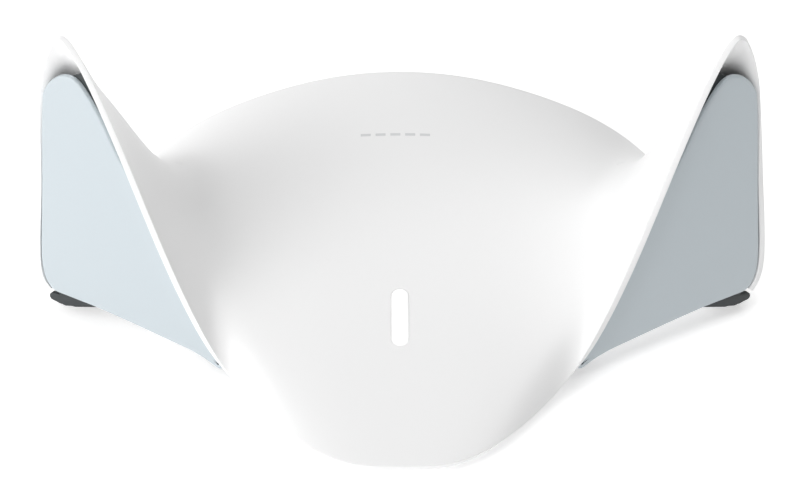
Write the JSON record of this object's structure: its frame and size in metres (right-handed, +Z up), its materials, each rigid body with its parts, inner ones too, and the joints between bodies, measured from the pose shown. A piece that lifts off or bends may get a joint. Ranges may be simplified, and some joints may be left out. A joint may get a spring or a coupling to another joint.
{
  "type": "wireless router",
  "caption": "Free-standing wireless router with a swept white deck rising into two hollow upright wings, each closed in front by a blue-grey antenna panel.",
  "frame": {"origin": "on the table, at the middle of the plan", "axes": "+X to the right seen from the front, +Y towards the sockets, +Z up; the front edge faces -Y"},
  "size_m": [0.3028, 0.2082, 0.1276],
  "materials": {
    "shell_white": "satin moulded ABS, warm white",
    "case_grey": "fine texture moulded ABS",
    "bezel_grey": "fine texture moulded ABS",
    "panel_blue": "satin painted polycarbonate, pale blue-grey",
    "carrier_black": "dark moulded ABS",
    "board_green": "solder mask on glass epoxy board",
    "antenna_copper": "gold-plated copper",
    "screw_steel": "zinc-plated steel",
    "cable_black": "FEP coaxial cable jacket",
    "light_lens": "milky diffusing polycarbonate",
    "led_yellow": "LED package",
    "ribbon_white": "flat flexible cable",
    "jack_blue": "moulded PBT, blue",
    "jack_yellow": "moulded PBT, yellow",
    "contact_gold": "gold-plated spring wire",
    "chip_black": "epoxy package",
    "connector_steel": "tin-plated steel sheet",
    "usb_blue": "moulded PBT, blue",
    "connector_black": "moulded PBT, black",
    "button_grey": "moulded ABS",
    "pad_blue": "silicone gap pad",
    "sink_aluminium": "extruded aluminium",
    "shield_steel": "tin-plated steel can",
    "capacitor_black": "sleeved aluminium can",
    "coil_grey": "ferrite",
    "rubber_black": "moulded rubber foot",
    "label_white": "blank film label"
  },
  "bodies": {
    "case": {"top_shell": "shell_white", "bottom_case": "case_grey", "rear_bezel": "bezel_grey", "left_wing_panel": "panel_blue", "right_wing_panel": "panel_blue", "left_antenna_carrier": "carrier_black", "right_antenna_carrier": "carrier_black", "left_antenna_board": "board_green", "right_antenna_board": "board_green", "left_antenna_patches": "antenna_copper", "right_antenna_patches": "antenna_copper", "left_antenna_screws": "screw_steel", "right_antenna_screws": "screw_steel", "left_antenna_cable": "cable_black", "right_antenna_cable": "cable_black", "light_guide": "light_lens", "light_board": "board_green", "status_leds": "led_yellow", "light_ribbon": "ribbon_white", "main_board": "board_green", "board_screws": "screw_steel", "wan_jack": "jack_blue", "lan_jack_1": "jack_yellow", "lan_jack_2": "jack_yellow", "lan_jack_3": "jack_yellow", "lan_jack_4": "jack_yellow", "jack_contacts": "contact_gold", "network_transformers": "chip_black", "usb_jack": "connector_steel", "usb_tongue": "usb_blue", "dc_jack": "connector_black", "dc_pin": "contact_gold", "power_switch": "shield_steel", "pair_switch": "shield_steel", "processor": "chip_black", "thermal_pad": "pad_blue", "heat_sink": "sink_aluminium", "memory_chips": "chip_black", "radio_shields": "shield_steel", "capacitors": "capacitor_black", "power_coil": "coil_grey", "coax_plugs": "contact_gold", "case_screws": "screw_steel", "rubber_feet": "rubber_black", "label_plate": "label_white"},
    "power_key": {"power_button": "button_grey", "power_plunger": "connector_black"},
    "pair_key": {"pair_button": "button_grey", "pair_plunger": "connector_black"}
  },
  "joints": [
    {"name": "power_press", "type": "slide", "parent": "case", "child": "power_key", "axis": [0, -1, 0], "range_m": [0, 0.002], "stiffness_N_per_m": 500, "springref_m": -0.001},
    {"name": "pair_press", "type": "slide", "parent": "case", "child": "pair_key", "axis": [0, -1, 0], "range_m": [0, 0.0012], "stiffness_N_per_m": 700, "springref_m": -0.001}
  ]
}
